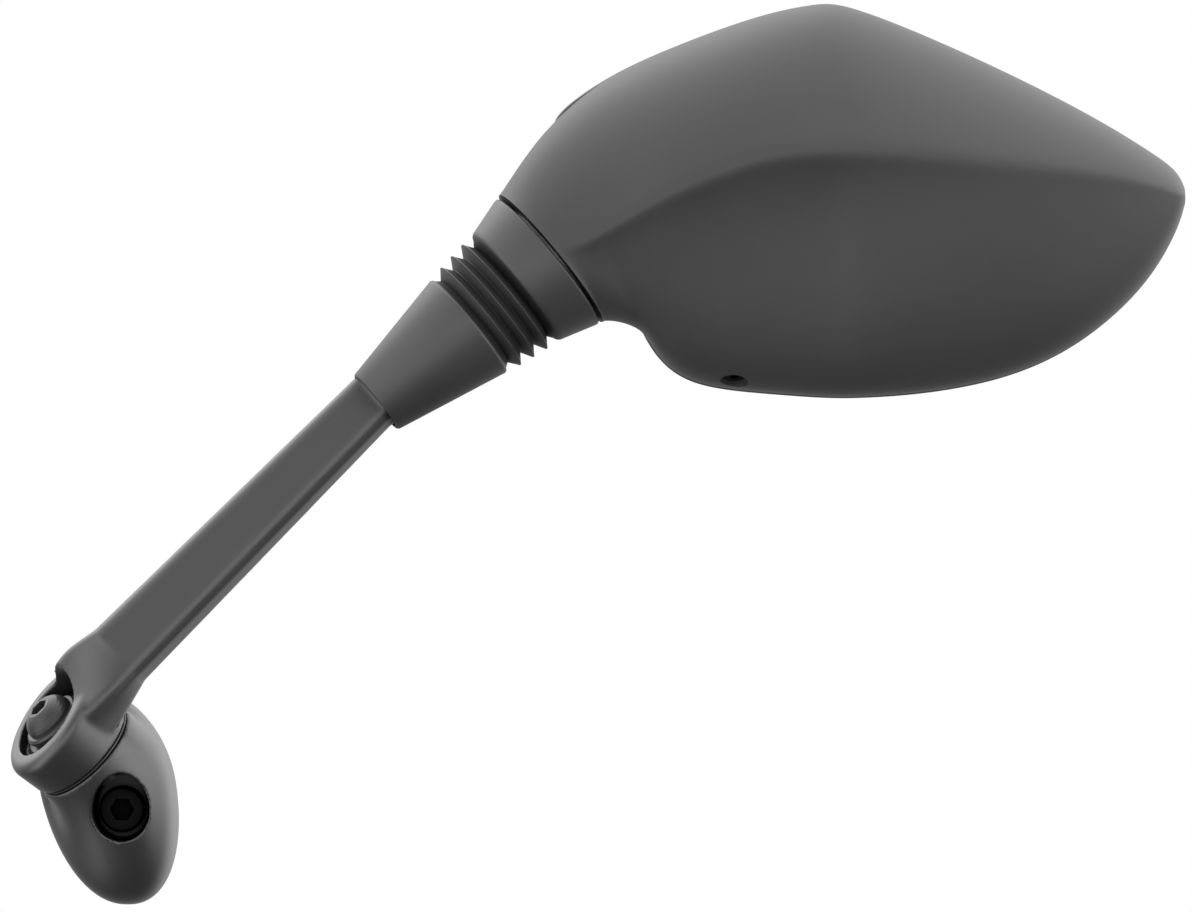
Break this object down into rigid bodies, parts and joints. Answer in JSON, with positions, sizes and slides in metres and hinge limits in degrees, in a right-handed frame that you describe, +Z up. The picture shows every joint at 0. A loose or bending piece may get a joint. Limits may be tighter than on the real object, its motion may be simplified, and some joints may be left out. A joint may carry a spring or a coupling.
{
  "type": "motorcycle mirror",
  "caption": "Black motorcycle mirror with a leaf-shaped domed housing, a rubber boot over its ball joint, a tapered stem and an egg-shaped mounting foot with a folding pivot.",
  "frame": {"origin": "centre of the fixing screw on the flat back face of the mounting foot", "axes": "+X towards the housing's tip, +Y the way the fixing screw leaves the foot, which is also the way the mirror faces, +Z up"},
  "size_m": [0.3284, 0.0723, 0.2529],
  "materials": {
    "cast_black": "satin black coating on a casting",
    "black_steel": "blackened",
    "zinc_steel": "zinc plated",
    "polished_steel": "ground",
    "spring_steel": "tempered",
    "bracket_metal": "die cast, bare",
    "rubber": "matt moulded",
    "housing_plastic": "fine grain",
    "carrier_plastic": "moulded",
    "nylon": "natural",
    "acetal": "black",
    "foam": "closed-cell foam",
    "mirror": "silvered glass"
  },
  "bodies": {
    "foot": {"foot": "cast_black", "fixing_screw": "black_steel", "pivot_bolt": "black_steel", "spring_washer": "spring_steel"},
    "arm": {"arm": "cast_black", "pivot_bush": "nylon", "friction_washer": "acetal", "bolt_washer": "zinc_steel", "ball_stud": "polished_steel", "boot": "rubber"},
    "liner": {"ball_liner": "nylon"},
    "seats": {"ball_cup_lower": "acetal", "ball_cup_upper": "acetal", "ball_spring": "spring_steel"},
    "head": {"housing_shell": "housing_plastic", "socket_bracket": "bracket_metal", "bracket_screws": "zinc_steel", "spring_plug": "zinc_steel", "glass_carrier": "carrier_plastic", "adhesive_pad": "foam", "mirror_glass": "mirror", "carrier_screw": "black_steel"}
  },
  "joints": [
    {"name": "arm_fold", "type": "hinge", "parent": "foot", "child": "arm", "pos_m": [-0.0104, -0.017, 0.0163], "axis": [-0.6509, -0.3907, 0.6509], "range_deg": [-60, 60]},
    {"name": "head_tilt", "type": "hinge", "parent": "arm", "child": "liner", "pos_m": [0.10369, -0.02803, 0.14036], "axis": [-0.1357, 0.9907, 0], "range_deg": [-12, 12], "deforming": ["boot"]},
    {"name": "head_swing", "type": "hinge", "parent": "liner", "child": "seats", "pos_m": [0.10369, -0.02803, 0.14036], "axis": [0.6275, 0.086, -0.7739], "range_deg": [-12, 12], "deforming": ["boot"]},
    {"name": "head_spin", "type": "hinge", "parent": "seats", "child": "head", "pos_m": [0.10369, -0.02803, 0.14036], "axis": [0.7667, 0.105, 0.6334], "range_deg": [-20, 20], "deforming": ["boot"]}
  ]
}
